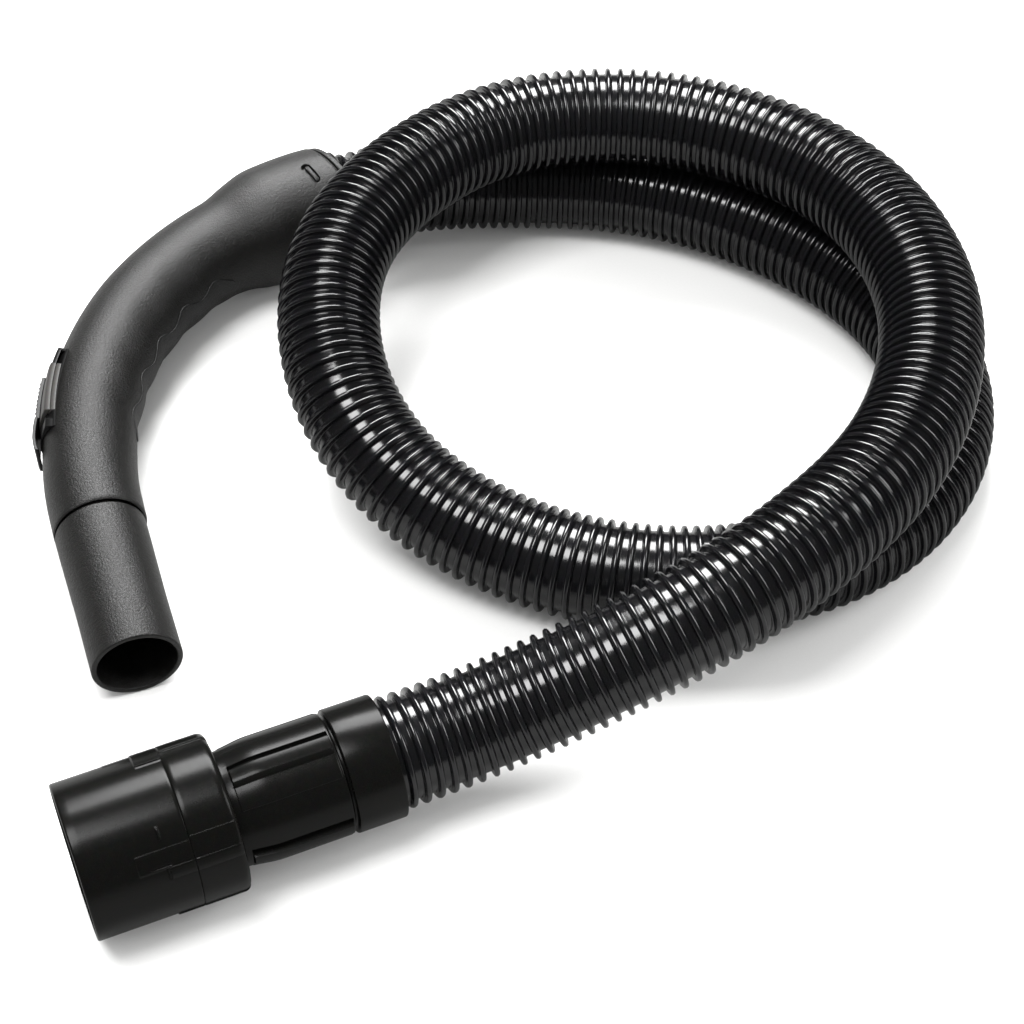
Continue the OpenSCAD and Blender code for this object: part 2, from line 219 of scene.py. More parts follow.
def on_line(s):
    """Point, heading, sideways and upwards directions of the centre line at the distances s."""
    place = np.stack([np.interp(s, fine_at, fine_line[:, k]) for k in range(3)], axis=-1)
    slopes = np.gradient(fine_line, fine_at, axis=0)
    heading = unit(np.stack([np.interp(s, fine_at, slopes[:, k]) for k in range(3)], axis=-1))
    side = unit(np.cross(heading, [0.0, 0.0, 1.0]))
    return place, heading, side, np.cross(side, heading)


print("hose length", round(HOSE_LENGTH, 4))

# %% [markdown]
# A hose like this is blown from soft PVC in a mould of polished rings, which leaves it glossy. The gloss is what
# one sees: thin bright lines on every ring. A very slight unevenness in the roughness keeps it from looking
# like glass.

# %% Glossy black PVC
hose_finish = plastic("blown soft PVC, glossy black", "#0b0b0c", "#101012", 0.16, 0.03, 3.0, 0.03, ior=1.5,
    swirl_mm=40)

# %% The hose
HOSE_R = 21 * MM
PITCH = 5.2 * MM
RIB_H = 2.65 * MM
RIB_R = 1.15 * MM
SIDES = 40


def rib_profile():
    """One ring in cross-section, as (distance along the hose, height, normal along, normal outwards): a round top
    of radius RIB_R on two short walls, with a small fillet at each foot."""
    turn = np.radians([0, 45, 90, 135, 180])
    height = RIB_H - RIB_R + RIB_R * np.sin(turn)
    top = np.stack([-RIB_R * np.cos(turn), height, -np.cos(turn), np.sin(turn)], axis=-1)
    foot = np.array([[-1.65 * MM, 0, 0, 1], [-1.3 * MM, 0.3 * MM, -0.8, 0.6]])
    other = foot[::-1] * [-1, 1, -1, 1]
    return np.vstack([foot, top, other])


def ribbed_tube(first, last):
    """A grid of rings: row = ring number and place in the ring's profile, column = angle round the hose. A point is
    the ring's middle plus its distance along the heading plus its radius in the direction of its angle."""
    rings = np.arange(first, last, PITCH)
    place, heading, side, up = (v[:, None, None, :] for v in on_line(rings))
    along, height, n_along, n_out = (c[None, :, None, None] for c in rib_profile().T)
    angle = np.linspace(0, 2 * np.pi, SIDES, endpoint=False)[None, None, :, None]
    outward = side * np.cos(angle) + up * np.sin(angle)
    points = place + along * heading + (HOSE_R - RIB_H + height) * outward
    normals = n_along * heading + n_out * outward
    return points.reshape(-1, SIDES, 3), normals.reshape(-1, SIDES, 3), len(rings)


def plain_ring(s, radius):
    """Rings of points at the distances s with one radius, and their outward directions."""
    place, _, side, up = (v[:, None, :] for v in on_line(np.atleast_1d(s)))
    angle = np.linspace(0, 2 * np.pi, SIDES, endpoint=False)[None, :, None]
    outward = side * np.cos(angle) + up * np.sin(angle)
    return place + radius * outward, outward


skin, skin_normals, rib_count = ribbed_tube(16 * MM, HOSE_LENGTH - 8 * MM)
start_ring, start_out = plain_ring(0.0, HOSE_R - RIB_H)
end_ring, end_out = plain_ring(HOSE_LENGTH, HOSE_R - RIB_H)
bore, bore_out = plain_ring(np.linspace(HOSE_LENGTH, 0, 60), HOSE_R - RIB_H - 1.0 * MM)
rows = np.concatenate([start_ring, skin, end_ring, bore])
row_normals = np.concatenate([start_out, skin_normals, end_out, -bore_out])
hose = build("ribbed_hose", rows, grid_faces(len(rows), SIDES, round_rows=True, flip=True), "hose_line", hose_finish,
    ("hose",), unit(row_normals))
print("rings", rib_count)

# %% [markdown]
# The handle is the grip one holds: a bent tube of grained plastic with a collar at one end, in which the hose
# turns, and a plain spigot for the wand at the other. All its pieces share one centre line, so they are all
# placed by the same three numbers: how far along the line, how far out from the bend, and how far up.

# %% The handle's centre line
HANDLE_AT = np.array([0.099, 0.147, 0.027])
HANDLE_ROLL = math.radians(2.5)
STRAIGHT = 10 * MM
BEND_R = 140 * MM
BEND_ANGLE = math.radians(86)
BEND_END = STRAIGHT + BEND_R * BEND_ANGLE
STEP_AT = BEND_END + 12 * MM
SPIGOT_END = STEP_AT + 68 * MM


def on_handle(s, out, rise):
    """The centre line runs straight, then round an arc, then straight again. A point is the line's place at s,
    plus out away from the arc's centre, plus rise upwards; the whole is rolled a little about the collar's axis."""
    s, out, rise = np.broadcast_arrays(s, out, rise)
    turn = np.pi / 2 + np.clip(s - STRAIGHT, 0, BEND_R * BEND_ANGLE) / BEND_R
    before = np.minimum(s - STRAIGHT, 0)
    after = np.maximum(s - BEND_END, 0)
    x = -STRAIGHT + (BEND_R + out) * np.cos(turn) - before - after * np.sin(turn)
    y = -BEND_R + (BEND_R + out) * np.sin(turn) + after * np.cos(turn)
    tilt, drop = math.cos(HANDLE_ROLL), math.sin(HANDLE_ROLL)
    return HANDLE_AT + np.stack([x, y * tilt - rise * drop, y * drop + rise * tilt], axis=-1)


def ring_angles(sides):
    """Evenly spaced angles round a ring, without the one that closes it."""
    return np.linspace(0, 2 * np.pi, sides, endpoint=False)


def eased(outline, size, steps=3):
    """Rounds every corner of a closed outline: the corner p is replaced by a curve from a point before it to a
    point after it, (1-t)^2 a + 2t(1-t) p + t^2 b. Corners with short sides get smaller curves."""
    p = np.array(outline, float)
    to_a, to_b = np.roll(p, 1, axis=0) - p, np.roll(p, -1, axis=0) - p
    len_a, len_b = (np.linalg.norm(v, axis=1) for v in (to_a, to_b))
    reach = np.minimum(size, 0.45 * np.minimum(len_a, len_b))
    a, b = p + to_a * (reach / len_a)[:, None], p + to_b * (reach / len_b)[:, None]
    t = np.linspace(0, 1, steps + 1)[None, :, None]
    return ((1 - t) ** 2 * a[:, None] + 2 * t * (1 - t) * p[:, None] + t * t * b[:, None]).reshape(-1, 2)


def turned_on_handle(outline, sides=96):
    """A closed outline of (distance along, radius) carried round the handle's centre line."""
    angle = ring_angles(sides)[None, :]
    along, radius = outline[:, 0, None], outline[:, 1, None]
    return on_handle(along, radius * np.cos(angle), radius * np.sin(angle))


def smooth_step(x):
    """0 below 0, 1 above 1, and 3x^2-2x^3 between."""
    x = np.clip(x, 0, 1)
    return x * x * (3 - 2 * x)


# %% [markdown]
# The handle is moulded in acrylonitrile butadiene styrene, ABS, in a mould whose walls are spark-eroded. That
# gives a fine even grain with no gloss: light spreads into one broad soft band along the bend. The real grain is
# about a quarter of a millimetre across, too fine to show, so it is drawn four times as coarse.

# %% Grained black ABS
grip_finish = plastic("moulded ABS, spark-eroded grain, charcoal", "#0b0b0a", "#100f0e", 0.38, 0.10, 0.9, 0.30,
    ior=1.53, swirl_mm=45, shine=0.33, mottle=0.9)

# %% [markdown]
# The grip shell swells from the round bend into the collar. Its section at any place is a circle that is pushed
# a little to one side, given by how far the skin is from the line outside the bend and inside it. Four hollows
# for the fingers are pressed into the inside of the bend, and two slots for the snap ring's tabs go through the
# collar. The table is smoothed along the handle so that its corners don't show.

# %% The grip's skin
SKIN = np.array([
    (-10, 26.9, 26.9), (14, 26.9, 26.9), (36, 25.8, 27.4), (46, 23.0, 25.7), (54, 20.8, 22.9), (64, 21.0, 20.8),
    (110, 20.6, 19.8), (160, 18.6, 20.5), (196, 17.4, 20.4), (232, 18.2, 18.9), (250, 18.2, 18.9),
]) * MM
FINGERS = np.array([79, 101, 125, 149, 173]) * MM
FINGER_DEPTH = 1.1 * MM
FINGER_REACH = 6.5 * MM
WINDOW_AT = (12.5 * MM, math.radians(100))
WINDOW_SIZE = (11.8 * MM, 4.3 * MM)
WINDOW_SLANT = math.radians(15)
WINDOW_DEPTH = 1.8 * MM
COLLAR_R = 27 * MM

table_at = np.arange(-10, 250, 1.0) * MM
bell = np.hanning(13)[1:-1]


def smoothed(column):
    """A column of the table, read every millimetre and averaged over its neighbours with a bell-shaped weight."""
    read = np.interp(table_at, SKIN[:, 0], SKIN[:, column])
    padded = np.pad(read, len(bell) // 2, mode="edge")
    return np.convolve(padded, bell / bell.sum(), mode="valid")


skin_out, skin_in = smoothed(1), smoothed(2)


def window_depth(s, angle):
    """How deep the slots are at a place: full inside a slanted round-ended slot, falling to nothing over its edge."""
    length, width = WINDOW_SIZE
    deepest = 0
    for turn in (0, math.pi):
        a = WINDOW_AT[0] - s
        v = COLLAR_R * ((angle - WINDOW_AT[1] - turn + math.pi) % (2 * math.pi) - math.pi)
        along = a * math.sin(WINDOW_SLANT) + v * math.cos(WINDOW_SLANT)
        across = a * math.cos(WINDOW_SLANT) - v * math.sin(WINDOW_SLANT)
        rim = np.hypot(np.maximum(np.abs(along) - (length - width) / 2, 0), across) - width / 2
        deepest = np.maximum(deepest, WINDOW_DEPTH * smooth_step(-rim / (0.35 * MM)))
    return deepest


def skin(s, angle, lift=0.0):
    """The grip's surface as (out, rise): a circle of the mean radius moved by half the difference of its two
    sides, less a bell-shaped hollow for each finger on the inside of the bend and less the slots."""
    a, b = np.interp(s, table_at, skin_out), np.interp(s, table_at, skin_in)
    bells = np.exp(-(((s[..., None] - FINGERS) / FINGER_REACH) ** 2)).sum(axis=-1)
    inside = ((1 - np.cos(angle)) / 2) ** 4
    mouth_round = 0.7 * MM * smooth_step(1 - s / (0.8 * MM))
    mouth_round = mouth_round + 0.5 * MM * smooth_step((s - STEP_AT + 0.6 * MM) / (0.6 * MM))
    radius = (a + b) / 2 - FINGER_DEPTH * bells * inside - window_depth(s, angle) - mouth_round + lift
    return (a - b) / 2 + radius * np.cos(angle), radius * np.sin(angle)


def lines(first, last, step, fine=(), fine_step=None):
    """Places from first to last every step, with extra ones every fine_step inside each (from, to) of fine."""
    every = [np.linspace(first, last, max(2, round((last - first) / step) + 1))]
    every += [np.arange(a, b, fine_step) for a, b in fine]
    return np.unique(np.round(np.concatenate(every), 7))


# %% [markdown]
# The collar's mouth isn't cut square: it leans by fifteen and a half degrees, so that the outside of the bend is
# shorter. Every ring near the mouth is sheared by the same lean, which fades out along the collar.

# %% The leaning mouth
LEAN = math.tan(math.radians(15.5))
MOUTH_AT = 2.4 * MM
LEAN_FADES = 11 * MM


def leaning(s, out):
    """Where a ring that would be cut square at s runs instead: moved by the lean times its distance out, all of it
    at the mouth and none of it past LEAN_FADES inside."""
    return s + (MOUTH_AT + LEAN * out) * smooth_step((LEAN_FADES - s) / LEAN_FADES)


# %% The grip shell
AIR_WAY_R = 17.2 * MM
shell_s = lines(0, STEP_AT, 2.2 * MM, [(9 * MM, 16 * MM)], 0.25 * MM)
shell_s = np.unique(np.concatenate([shell_s, [0.25 * MM, 0.8 * MM, STEP_AT - 0.6 * MM, STEP_AT - 0.25 * MM]]))
slot_reach = math.radians(13)
near_slots = [(WINDOW_AT[1] + t - slot_reach, WINDOW_AT[1] + t + slot_reach) for t in (0, math.pi)]
shell_angle = lines(0, 2 * np.pi, math.radians(3), near_slots, math.radians(0.5))[:-1]
s_grid, angle_grid = np.meshgrid(shell_s, shell_angle, indexing="ij")
skin_at, skin_up = skin(s_grid, angle_grid)
outer = on_handle(leaning(s_grid, skin_at), skin_at, skin_up)
bent = lines(28 * MM, BEND_END, 6 * MM)[::-1]
spigot_seat = np.array([(STEP_AT / MM, 18.0), (STEP_AT / MM - 12, 17.4)]) * MM
air_way = np.stack([bent, np.full(len(bent), AIR_WAY_R)], axis=1)
cuff_room = np.array([(27, 21), (26.5, 25.0), (14, 25.0), (0, 25.0)]) * MM
inner_line = np.vstack([spigot_seat, air_way, cuff_room])
inner_at = inner_line[:, 1, None] * np.cos(shell_angle)
inner = on_handle(leaning(inner_line[:, 0, None], inner_at), inner_at, inner_line[:, 1, None] * np.sin(shell_angle))
shell_rows = np.concatenate([outer, inner])
build("grip_skin", shell_rows, grid_faces(len(shell_rows), len(shell_angle), round_rows=True), "handle",
    grip_finish, ("grip_shell",), sharp=50)

# %% [markdown]
# The spigot is the plain end that a wand pushes onto. It is turned: one closed outline, with rounded edges,
# carried round the centre line. Its mouth shows a rim two millimetres wide, rounded on both edges.

# %% The spigot
spigot_outline = eased(np.array([
    (BEND_END / MM, 16.6), (STEP_AT / MM + 0.1, 16.6), (STEP_AT / MM + 0.9, 17.2), (STEP_AT / MM + 1.5, 18.1),
    (STEP_AT / MM + 12, 18.0),
    (STEP_AT / MM + 40, 17.5), (SPIGOT_END / MM, 17.5), (SPIGOT_END / MM, 15.3), (BEND_END / MM, 15.3),
]) * MM, 0.7 * MM, 4)
build("wand_spigot", turned_on_handle(spigot_outline), grid_faces(len(spigot_outline), 96, round_rows=True),
    "handle", grip_finish, ("spigot",), sharp=60)

# %% [markdown]
# The soft strip under the fingers is a second moulding let into the inside of the bend. Seen from above, only its
# edge shows, rising between the fingers. It is a closed strip: its top follows the skin and stands a little
# proud, and its underside is buried in the shell. It is a thermoplastic elastomer from a finely etched mould,
# which looks matt and a little greyer than the shell where light grazes it.

# %% Soft grip strip
soft_finish = plastic("thermoplastic elastomer, fine matt, black", "#0c0c0c", "#101010", 0.42, 0.06, 0.8, 0.30,
    ior=1.5, shine=0.4)


def capped(rows, columns):
    """Faces of a tube of rings whose two ends are closed by one many-sided face each."""
    return grid_faces(rows, columns).tolist() + [list(range(columns))[::-1],
        list(range((rows - 1) * columns, rows * columns))]


strip_s = lines(68 * MM, 186 * MM, 1.5 * MM)
strip_end = np.sqrt(np.clip(1 - ((strip_s - 127 * MM) / (59 * MM)) ** 8, 0, 1))
wave = np.cos(2 * np.pi * (strip_s - FINGERS[0]) / (23.5 * MM))
half_angle = np.radians(15 + 5 * wave) * (0.15 + 0.85 * strip_end)
across = np.array([-1.02, -1, -0.97, -0.92, -0.8, -0.6, -0.4, -0.2, 0, 0.2, 0.4, 0.6, 0.8, 0.92, 0.97, 1, 1.02])
crown = np.interp(np.abs(across), [0, 0.92, 0.97, 1, 1.02], [0.35, 0.35, 0.28, 0.05, -0.6]) * MM
under = np.full(9, -0.9 * MM)
strip_v = np.concatenate([across, np.linspace(1, -1, 11)[1:-1]])
strip_lift = np.concatenate([crown, under])
strip_angle = np.pi + half_angle[:, None] * strip_v[None, :]
strip_grid_s = np.broadcast_to(strip_s[:, None], strip_angle.shape)
strip = on_handle(strip_grid_s, *skin(strip_grid_s, strip_angle, strip_lift[None, :]))
build("soft_grip_strip", strip, capped(len(strip_s), len(strip_v)), "handle", soft_finish,
    ("finger_insert",), sharp=60)

# %% [markdown]
# The suction regulator is a small slide on the outside of the bend that uncovers a hole. Its parts are bars bent
# to the handle's curve. Each bar is a rounded rectangle carried along the handle, whose underside and top may
# follow their own curves.

# %% Bent bars
SOFT = 0.3 * MM


def bar(s, low, high, half_width, soften=SOFT):
    """Rings of a bent bar: at each s a rectangle from low to high and half_width to each side of the middle, its
    corners cut by soften, and one smaller ring at each end so that the ends are rounded too."""
    s, low, high, wide = (np.broadcast_to(v, np.shape(s)).astype(float) for v in (s, low, high, half_width))
    s = np.concatenate([[s[0]], [s[0] + soften], s[1:-1], [s[-1] - soften], [s[-1]]])
    low, high, wide = (np.concatenate([[v[0]], v, [v[-1]]]) for v in (low, high, wide))
    inset = np.zeros(len(s))
    inset[[0, -1]] = soften
    low, high, wide = (low + inset)[:, None], (high - inset)[:, None], (wide - inset)[:, None]
    c = soften
    out = np.concatenate([low, low + c, high - c, high, high, high - c, low + c, low], axis=1)
    rise = np.concatenate([wide - c, wide, wide, wide - c, c - wide, -wide, -wide, c - wide], axis=1)
    return on_handle(np.broadcast_to(s[:, None], out.shape), out, rise)


def joined(parts):
    """The points and faces of several closed shapes, each given as (grid of points, its faces), as one mesh."""
    points, faces, used = [], [], 0
    for rows, some in parts:
        points.append(rows.reshape(-1, 3))
        faces += [[i + used for i in face] for face in some]
        used += rows.shape[0] * rows.shape[1]
    return np.concatenate(points), faces


def bars(name, parts, finish, body, node):
    """One piece from several closed bars."""
    points, faces = joined([(rings, capped(*rings.shape[:2])) for rings in parts])
    return build(name, points, faces, body, finish, (node,), sharp=35)


def run(a, b, step=2.0):
    """Places along the handle from a to b, in millimetres."""
    return np.linspace(a, b, max(2, round((b - a) / step) + 1)) * MM


# %% [markdown]
# Frame and thumb plate are ABS from a lightly etched mould, which looks satin and deep black. The slide is a
# smoother, greyer moulding in polyoxymethylene, so it stands out from both. The frame is an open box: a thin
# flange on the grip, two end walls and an outer rail, with a dark core behind.

# %% The regulator
satin_finish = plastic("moulded ABS, satin, black", "#080808", "#0b0b0b", 0.34, 0.04, 1.2, 0.02, ior=1.53,
    swirl_mm=30, shine=0.16)
slide_finish = plastic("moulded polyoxymethylene, smooth, grey", "#2c2b2a", "#333230", 0.4, 0.04, 1.5, 0.02,
    ior=1.48, shine=0.3)
CROWN_R = 29 * MM


def saddle(s, low, high, half_width, soften=0.25 * MM, hugging=False):
    """Rings of a bent bar with a curved top: at z from the middle the top is lower by z^2 / (2 x crown radius).
    A hugging bar's top stays a fixed height over the grip's skin instead, and its underside is inside the wall."""
    s, low, high, wide = (np.broadcast_to(v, np.shape(s)).astype(float) for v in (s, low, high, half_width))
    s = np.concatenate([[s[0]], [s[0] + soften], s[1:-1], [s[-1] - soften], [s[-1]]])
    low, high, wide = (np.concatenate([[v[0]], v, [v[-1]]])[:, None] for v in (low, high, wide))
    inset = np.zeros((len(s), 1))
    inset[[0, -1]] = soften
    z = np.linspace(-1, 1, 13) * (wide - inset)
    z_top = np.concatenate([-(wide - inset), z * (1 - soften / wide), wide - inset], axis=1)
    if hugging:
        mean = (np.interp(s, table_at, skin_out) + np.interp(s, table_at, skin_in))[:, None] / 2
        shift = (np.interp(s, table_at, skin_out) - np.interp(s, table_at, skin_in))[:, None] / 2
        top = np.sqrt((mean + high - inset) ** 2 - z_top ** 2) + shift
        under = np.sqrt((mean + low) ** 2 - z ** 2) + shift
    else:
        top = high - inset - z_top ** 2 / (2 * CROWN_R)
        under = low + inset - z ** 2 / (2 * CROWN_R)
    top[:, [0, -1]] -= soften
    out = np.concatenate([top, under[:, ::-1]], axis=1)
    rise = np.concatenate([z_top, z[:, ::-1]], axis=1)
    return on_handle(np.broadcast_to(s[:, None], out.shape), out, rise)


def sloped(s, first, last):
    """A height that goes evenly from first to last along s."""
    return np.linspace(first, last, len(s)) * MM


frame_s, block_s, core_s = run(149, 188.5), run(157, 180.5), run(157.4, 180.1)
plate_s, lip_s = run(158, 178), run(177, 193, 1.5)
bars("regulator_frame", [
    saddle(frame_s, -1.5 * MM, 0.6 * MM, 15 * MM, hugging=True),
    saddle(run(149, 157.5), 18.9 * MM, 20.4 * MM, 14.8 * MM),
    saddle(run(149, 150.5), 13 * MM, 20.4 * MM, 14.8 * MM),
    saddle(run(184.5, 188.5), 13 * MM, 18.2 * MM, 14.8 * MM),
    saddle(run(150, 186), 13 * MM, sloped(run(150, 186), 19.6, 17.4), 12 * MM),
], satin_finish, "handle", "regulator_base")
bars("regulator_slide_block", [
    saddle(block_s, sloped(block_s, 16.7, 14.9), sloped(block_s, 18.6, 16.8), 15.1 * MM),
    saddle(block_s, sloped(block_s, 18.9, 17.1), sloped(block_s, 21.0, 19.2), 15.1 * MM),
    saddle(core_s, sloped(core_s, 16.9, 15.1), sloped(core_s, 20.7, 18.9), 14.7 * MM),
], slide_finish, "regulator", "regulator_slider")
lip_places, lip_heights = np.array([(177, 20.9), (182, 21.1), (187, 21.0), (191, 20.3), (193, 19.6)]).T * MM
lip_top = np.interp(lip_s, lip_places, lip_heights)
ridges = [bar(run(a, a + 0.9), 21.0 * MM, (22.5 - (a - 158) * 0.08) * MM, 5.6 * MM, 0.2 * MM)
    for a in np.arange(160, 176, 2.0)]
bars("regulator_thumb_plate", [
    bar(plate_s, sloped(plate_s, 20.2, 18.6), sloped(plate_s, 21.9, 20.5), 6.8 * MM),
    bar(lip_s, lip_top - 1.5 * MM, lip_top, 6.8 * MM),
] + ridges, satin_finish, "regulator", "regulator_cover")

# %% [markdown]
# The snap ring closes the collar. Its flange shows as a thin dark edge at the collar's mouth, and its two tabs
# fill the slots. The cuff that is moulded on the hose turns inside it.

# %% The snap ring and the cuff
ring_outline = eased(np.array([
    (23, 23.05), (23, 24.9), (-0.3, 24.9), (-0.8, 26.3), (-3.0, 26.4), (-3.0, 23.05),
]) * MM, 0.5 * MM, 3)
ring_turn = ring_angles(96)[None, :]
ring_at = ring_outline[:, 1, None] * np.cos(ring_turn)
ring_up = ring_outline[:, 1, None] * np.sin(ring_turn)
ring_rows = on_handle(leaning(ring_outline[:, 0, None], ring_at), ring_at, ring_up)


def tab(turn):
    """Rings of a round-ended block that follows the collar: its outline is a circle pulled apart along the slot."""
    length, width = WINDOW_SIZE[0] - 1.8 * MM, WINDOW_SIZE[1] - 2.3 * MM
    a = ring_angles(32)
    straight = (length - width) / 2
    l, w = width / 2 * np.cos(a) + straight * np.sign(np.cos(a)), width / 2 * np.sin(a)
    scale = np.array([1, 1, 1, 0.93, 0.5])[:, None]
    radius = np.array([24.6, 25.4, 26.0, 26.35, 26.45])[:, None] * MM
    along, across = l * scale, w * scale
    x = along * math.sin(WINDOW_SLANT) + across * math.cos(WINDOW_SLANT)
    v = along * math.cos(WINDOW_SLANT) - across * math.sin(WINDOW_SLANT)
    angle = WINDOW_AT[1] + turn + v / COLLAR_R
    return on_handle(WINDOW_AT[0] - 0.75 * MM - x, radius * np.cos(angle), radius * np.sin(angle))


ring_and_tabs = [(ring_rows, grid_faces(len(ring_outline), 96, round_rows=True).tolist())]
ring_and_tabs += [(tab(turn), capped(5, 32)) for turn in (0, math.pi)]
points, faces = joined(ring_and_tabs)
build("snap_ring", points, faces, "handle", grip_finish, ("collar_ring",), sharp=50)
cuff_outline = eased(np.array([
    (26, 18), (26, 24.6), (23.6, 24.6), (23.6, 22.9), (-2.6, 22.9), (-2.6, 21), (20, 21), (20, 18),
]) * MM, 0.4 * MM, 3)
build("handle_end_cuff", turned_on_handle(cuff_outline), grid_faces(len(cuff_outline), 96, round_rows=True),
    "hose_line", satin_finish, ("handle_cuff",), sharp=50)

# %% [markdown]
# The machine end: a wide coupling, a ribbed sleeve to pull it by, and a smooth cuff on the hose. All three are
# turned about one level axis, and an angle round it is counted from straight down towards +Y. The raised
# details are a relief: a height added to the radius, on a grid with lines wherever the relief has an edge.

# %% The connector's axis
CONNECTOR_AT = np.array([0.0, -0.145, 0.02875])
CUFF_X = -5 * MM
SLEEVE_END = CUFF_X - 1.5 * MM
COUPLING_END = SLEEVE_END - 40 * MM
COUPLING_MM = 55
MOUTH_X = COUPLING_END - COUPLING_MM * MM


def on_connector(x, radius, angle):
    """A point on the connector: x along its axis and radius from it, at an angle from straight down towards +Y."""
    x, radius, angle = np.broadcast_arrays(x, radius, angle)
    return CONNECTOR_AT + np.stack([x, radius * np.sin(angle), -radius * np.cos(angle)], axis=-1)


def turned_on_connector(outline, sides=96):
    """A closed outline of (x, radius) carried round the connector's axis."""
    return on_connector(outline[:, 0, None], outline[:, 1, None], ring_angles(sides)[None, :])


def raised(x, angle, x_from, x_to, a_from, a_to, height, edge=0.25 * MM, radius=28 * MM):
    """A raised pad: its height inside a box of x and angle, falling to nothing over the width of its edge."""
    a = np.degrees(angle)
    middle, half = (a_from + a_to) / 2, (a_to - a_from) / 2
    off = np.abs((a - middle + 180) % 360 - 180) - half
    in_angle = smooth_step(0.5 - np.radians(off) * radius / edge)
    in_x = smooth_step(0.5 + (x - x_from) / edge) * smooth_step(0.5 + (x_to - x) / edge)
    return height * in_angle * in_x


def relief_lines(first, last, step, edges, reach):
    """Lines every step, with three more about each edge so that the relief's walls stay crisp."""
    spread = (np.asarray(edges)[:, None] + np.array([-0.5, -0.17, 0.17, 0.5]) * reach).ravel()
    every = np.concatenate([np.arange(first, last, step), spread[(spread > first) & (spread < last)], [last]])
    return np.unique(np.round(every, 7))


# %% [markdown]
# The coupling is polypropylene from a fine-ground mould: satin, near black, with a soft sheen along its top and
# hardly any grain. Its two halves meet in a fine line. Raised bayonet pads run from the rear rim towards the
# mouth, some in two steps, with small ticks beside them.

# %% The coupling
coupling_finish = plastic("moulded polypropylene, satin, black", "#090908", "#0c0c0b", 0.23, 0.02, 2.5, 0.003,
    ior=1.49, swirl_mm=50, shine=0.12)
LINE_X = MOUTH_X + 0.69 * COUPLING_MM * MM
FRONT_X = MOUTH_X + 0.52 * COUPLING_MM * MM
FAR_X = MOUTH_X + 0.34 * COUPLING_MM * MM
REAR_X = COUPLING_END + 0.2 * MM
COUPLING_R = 28.15 * MM
REAR_ROUND = 2.4 * MM
MOUTH_ROUND = 0.8 * MM
PADS = [
    (FRONT_X, LINE_X, 118, 156.5, 0.5), (LINE_X, REAR_X, 118, 146, 0.5), (FAR_X, FRONT_X, 128, 137, 0.15),
    (FRONT_X, REAR_X, 238.5, 247.8, 0.5), (LINE_X, REAR_X, 222, 238.5, 0.2), (FAR_X, LINE_X, 224.3, 238.5, 0.2),
    (FRONT_X - 0.5 * MM, FRONT_X + 0.3 * MM, 209.5, 218.3, 0.4),
    (FRONT_X - 0.5 * MM, FRONT_X + 0.3 * MM, 238.5, 248.3, 0.75),
    (LINE_X - 15 * MM, LINE_X - 8 * MM, 236.2, 237.4, -0.3), (REAR_X - 1.2 * MM, REAR_X, 220.5, 222.5, 0.5),
]
all_pads = PADS + [(a, b, c + 180, d + 180, h) for a, b, c, d, h in PADS]
pad_x = [v for pad in PADS for v in pad[:2]] + [LINE_X - 0.2 * MM, LINE_X + 0.2 * MM]
pad_angles = np.radians(np.array([v for pad in all_pads for v in pad[2:4]]) % 360)
body_x = relief_lines(MOUTH_X + MOUTH_ROUND, COUPLING_END - REAR_ROUND, 3 * MM, pad_x, 0.3 * MM)
body_angle = relief_lines(0, 2 * np.pi, math.radians(4), pad_angles, math.radians(0.6))[:-1]


def coupling_radius(x, angle):
    """The coupling's radius: a slight taper, a groove where its halves meet, and the pads."""
    base = COUPLING_R + 0.1 * MM * (x - MOUTH_X) / (COUPLING_END - MOUTH_X) + 0.08 * MM * (x > LINE_X)
    groove = 0.3 * MM * np.exp(-(((x - LINE_X) / (0.2 * MM)) ** 2))
    return base - groove + sum(raised(x, angle, a, b, c, d, h * MM) for a, b, c, d, h in all_pads)


x_grid, a_grid = np.meshgrid(body_x, body_angle, indexing="ij")
body_rows = on_connector(x_grid, coupling_radius(x_grid, a_grid), a_grid)
t = np.radians([22.5, 45, 67.5, 90])
rim_radius = coupling_radius(np.full_like(body_angle, body_x[-1]), body_angle)
rear = [on_connector(COUPLING_END - REAR_ROUND + REAR_ROUND * math.sin(a),
    rim_radius - REAR_ROUND * (1 - math.cos(a)), body_angle) for a in t]
inside = [on_connector(x * MM + COUPLING_END, r * MM, body_angle) for x, r in
    ((0, 21.2), (-0.5, 20.6), (-8, 20.6), (-8, 26), (-54.4, 26), (-55, 26.4), (-55, 27.3))]
front = [on_connector(MOUTH_X + MOUTH_ROUND * (1 - math.sin(a)),
    COUPLING_R - MOUTH_ROUND * (1 - math.cos(a)), body_angle) for a in t[::-1][1:]]
coupling_rows = np.concatenate([body_rows, np.stack(rear), np.stack(inside), np.stack(front)])
build("coupling_shell", coupling_rows, grid_faces(len(coupling_rows), len(body_angle), round_rows=True), "connector",
    coupling_finish, ("coupling_body",), sharp=50)
socket_outline = eased(np.array([(-54.4, 25.5), (-54.4, 25.95), (-8.1, 25.95), (-8.1, 16), (-11.5, 16), (-11.5, 19.4),
    (-9.9, 19.4), (-9.9, 23.5), (-11.5, 23.5), (-11.5, 24.5), (-53.4, 24.5)]) * MM + [COUPLING_END, 0], 0.35 * MM, 3)
build("inlet_socket", turned_on_connector(socket_outline), grid_faces(len(socket_outline), 96, round_rows=True),
    "connector", coupling_finish, ("coupling_socket",), sharp=50)

# %% [markdown]
# The sleeve flares from the coupling and carries four long grip ribs, each with a narrow groove along one side
# and a sharp edge along the other. Its relief repeats every quarter turn.

